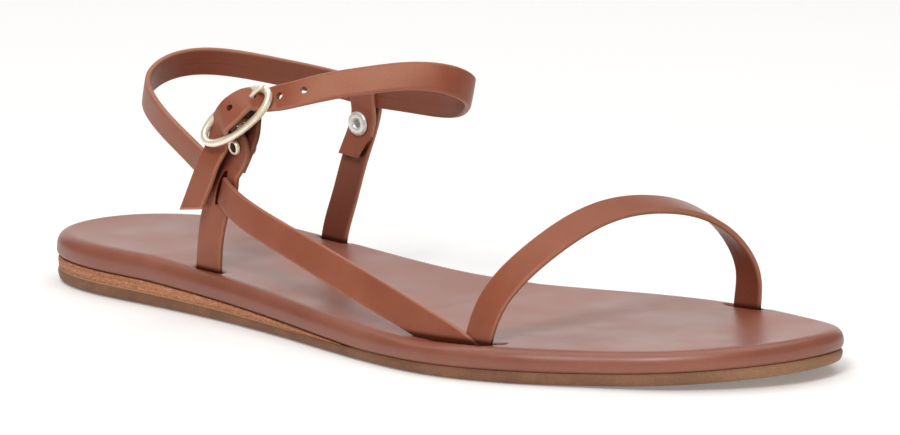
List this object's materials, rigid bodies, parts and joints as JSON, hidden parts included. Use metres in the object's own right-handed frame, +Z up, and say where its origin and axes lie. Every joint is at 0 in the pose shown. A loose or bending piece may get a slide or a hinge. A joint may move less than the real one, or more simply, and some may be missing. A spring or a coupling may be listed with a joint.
{
  "type": "flat sandal",
  "caption": "Flat leather sandal for the right foot: padded footbed on a thin wedge and rubber sole, slim toe strap, and an ankle strap held by side posts and an oval buckle.",
  "frame": {"origin": "on the floor under the middle of the sandal's box", "axes": "+X towards the toe, +Y towards the inner (medial) side, +Z up"},
  "size_m": [0.25, 0.0942, 0.0718],
  "materials": {
    "rubber_sole": "matt brown sheet",
    "raw_leather": "raw fibrous edge",
    "footbed_leather": "smooth satin chestnut",
    "strap_leather": "fine grain satin chestnut",
    "pale_gold": "polished pale gold plate",
    "nickel": "bright nickel plate"
  },
  "bodies": {
    "root": {"outsole": "rubber_sole", "heel_wedge": "raw_leather", "footbed": "footbed_leather", "upper_straps": "strap_leather", "buckle_frame": "pale_gold", "buckle_prong": "pale_gold", "outer_stud_cap": "pale_gold", "outer_stud_socket": "nickel", "inner_stud_cap": "pale_gold", "inner_stud_socket": "nickel"}
  },
  "joints": []
}
